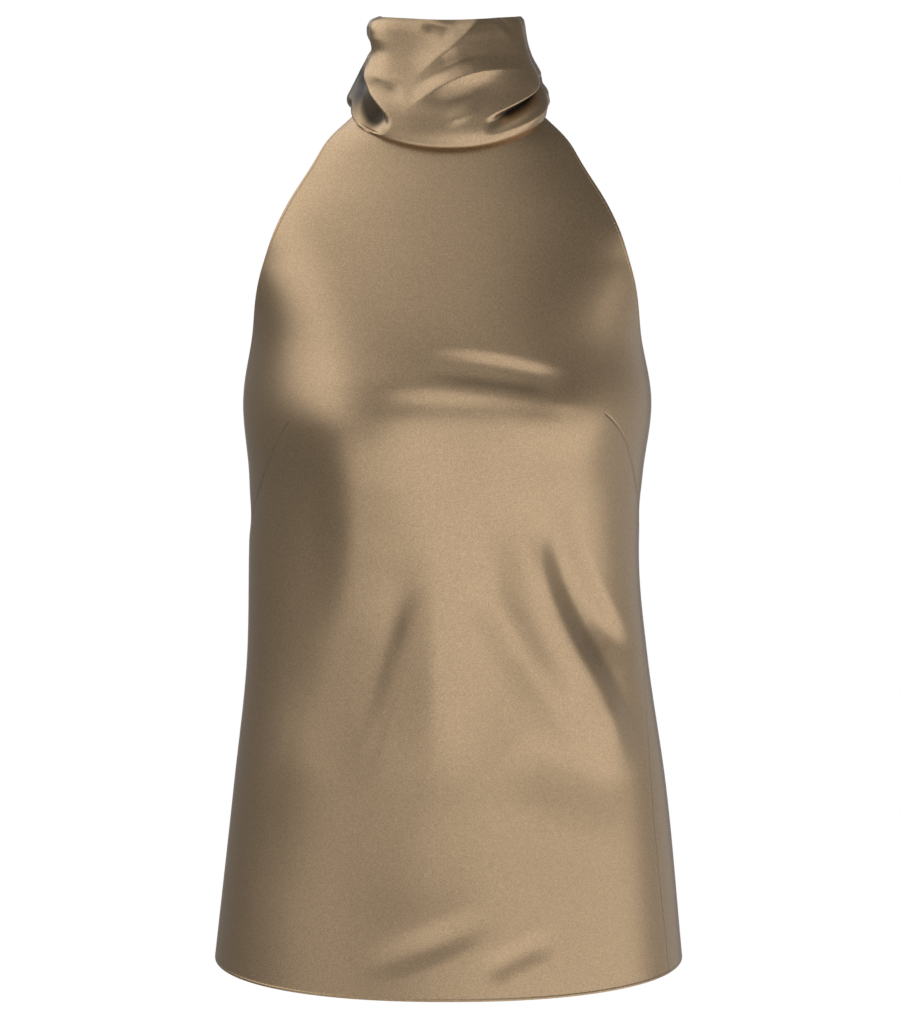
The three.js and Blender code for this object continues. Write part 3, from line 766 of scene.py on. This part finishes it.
# Their folds, as percent of the way out and back and share of the cloth's width.
LOOP_FOLDS = [
    Fold((1, 0.50), (20, 0.44), (44, 0.30), 7, 7, -3.2, 0.3, 0.1, 0.7),
    Fold((1, 0.78), (18, 0.74), (38, 0.80), 6, 6, -2.6, 0.3, 0.1, 0.7),
    Fold((1, 0.24), (16, 0.20), (30, 0.10), 5, 5, -2.2, 0.3, 0.1, 0.7),
    Fold((99, 0.46), (82, 0.52), (56, 0.44), 8, 7, -3.6, 0.3, 0.1, 0.7),
    Fold((99, 0.22), (84, 0.26), (66, 0.14), 6, 6, -2.8, 0.3, 0.1, 0.7),
    Fold((99, 0.74), (82, 0.78), (64, 0.90), 6, 6, -2.8, 0.3, 0.1, 0.7),
    Fold((62, 0.02), (58, 0.50), (64, 0.98), 9, 9, 1.6, 0, 0.3, 0.3),
]

# Each tail hangs from under the knot to its own length, and is cut off at a slant.
Tail = namedtuple("Tail", "node side length spread width slant")
TAILS = [
    Tail("bow_tail_left", -1, 236, 22, 60, 22),
    Tail("bow_tail_right", 1, 214, 19, 58, 20),
]
TAIL_ROOT_HALF = 7
TAIL_WIDE_AT = 0.85  # share of the length at which it has its full width
TAIL_OUTWARD = 0.5  # share of its widening that goes to the outside
TAIL_BACK = 14  # how far it comes to hang behind the knot's middle, and by what share of the length
TAIL_BACK_AT = 0.7
PLEATS = 2.2  # half waves across the tail
PLEAT_START = 0.3
PLEAT_HIGH = 3.2
PLEAT_TOP = 0.8  # shares of that height at the knot and at the foot
PLEAT_FOOT = 1.6
TAIL_FOLDS = [
    Fold((30, 0.0), (24, 0.30), (12, 0.74), 8, 8, -3.0, 0.2, 0.05, 0.6),
    Fold((62, 0.0), (60, 0.42), (70, 0.98), 9, 9, -3.4, 0.2, 0.05, 0.5),
    Fold((84, 0.04), (88, 0.26), (94, 0.5), 6, 6, -2.0, 0.2, 0.1, 0.6),
    Fold((44, 0.2), (40, 0.56), (36, 1.0), 10, 10, 2.4, 0, 0.4, 0.2),
]


def knot_grid(columns, rows):
    turn = np.linspace(0, 2 * np.pi, columns + 1)[None, :-1]
    lift = np.linspace(-KNOT_END, KNOT_END, rows + 1)[:, None] * np.pi
    x, y, z = np.cos(lift) * np.sin(turn), -np.cos(lift) * np.cos(turn), np.sin(lift) + 0 * turn

    def swell(value):
        return np.sign(value) * np.abs(value) ** (2 / KNOT_SQUARE)

    sunk = 0
    for crease in KNOT_CREASES:
        away = np.abs(x - crease.at - crease.lean * z) * knot_half[0] / crease.wide
        sunk = sunk + crease.deep * np.maximum(0, 1 - away) ** KNOT_CREASE_CURVE
    depth = knot_half[1] - sunk * y**2
    points = np.stack([swell(x) * knot_half[0], swell(y) * depth, swell(z) * knot_half[2]], axis=-1)
    return points + knot_middle


def loop_grid(loop, columns, rows):
    u = np.linspace(0, 1, columns + 1)[None, :]
    v = np.linspace(0, 1, rows + 1)[:, None]
    down = math.radians(loop.droop)
    open_share = np.maximum(0, np.sin(np.pi * u))
    out = loop.length * open_share
    full = lerp(LOOP_NARROW, 1, open_share**LOOP_OPENING)
    apart = -loop.fullness / 2 * np.cos(np.pi * u) * full
    across = (2 * v - 1) * lerp(loop.root, loop.tip, open_share**LOOP_SPREADING)
    folds = fold_height(LOOP_FOLDS, PERCENT * u, v, 2 * loop.length / PERCENT, 2 * loop.tip)
    apart = apart + folds * np.sign(u - 0.5)
    x = knot_half[0] + SEAM_GAP + BOW_CLOTH + out * math.cos(down) + across * math.sin(down) * open_share
    z = -out * math.sin(down) + across * lerp(1, math.cos(down), open_share) - LOOP_SAG * open_share**2
    return np.stack(np.broadcast_arrays(loop.side * x, apart, z), axis=-1) + knot_middle * (0, 1, 1)


def tail_grid(tail, columns, rows):
    u = np.linspace(0, 1, columns + 1)[None, :]
    v = np.linspace(0, 1, rows + 1)[:, None]
    down = v * (tail.length - tail.slant * (1 - u) * v)
    half = lerp(TAIL_ROOT_HALF, tail.width / 2, smoothstep(v, 0, TAIL_WIDE_AT))
    middle = TAIL_ROOT_HALF + BOW_CLOTH + tail.spread * smoothstep(v) + (half - TAIL_ROOT_HALF) * TAIL_OUTWARD
    pleat = PLEAT_HIGH * np.sin(np.pi * (PLEATS * u + PLEAT_START)) * lerp(PLEAT_TOP, PLEAT_FOOT, v)
    pleat = pleat + fold_height(TAIL_FOLDS, PERCENT * u, v, tail.width / PERCENT, tail.length)
    behind = TAIL_BACK * smoothstep(v, 0, TAIL_BACK_AT)
    x = tail.side * (middle + (2 * u - 1) * half)
    points = np.stack(np.broadcast_arrays(x, behind + pleat, -down), axis=-1)
    return points + (0, knot_middle[1], knot_low[2] - SEAM_GAP)


shell("bow_knot_satin", "bow_knot", knot_grid(*KNOT_GRID), KNOT_CLOTH, closed=True)
for loop in LOOPS:
    made = shell(loop.node + "_satin", loop.node, loop_grid(loop, *LOOP_GRID), BOW_CLOTH)
for tail in TAILS:
    made = shell(tail.node + "_satin", tail.node, tail_grid(tail, *TAIL_GRID), BOW_CLOTH)
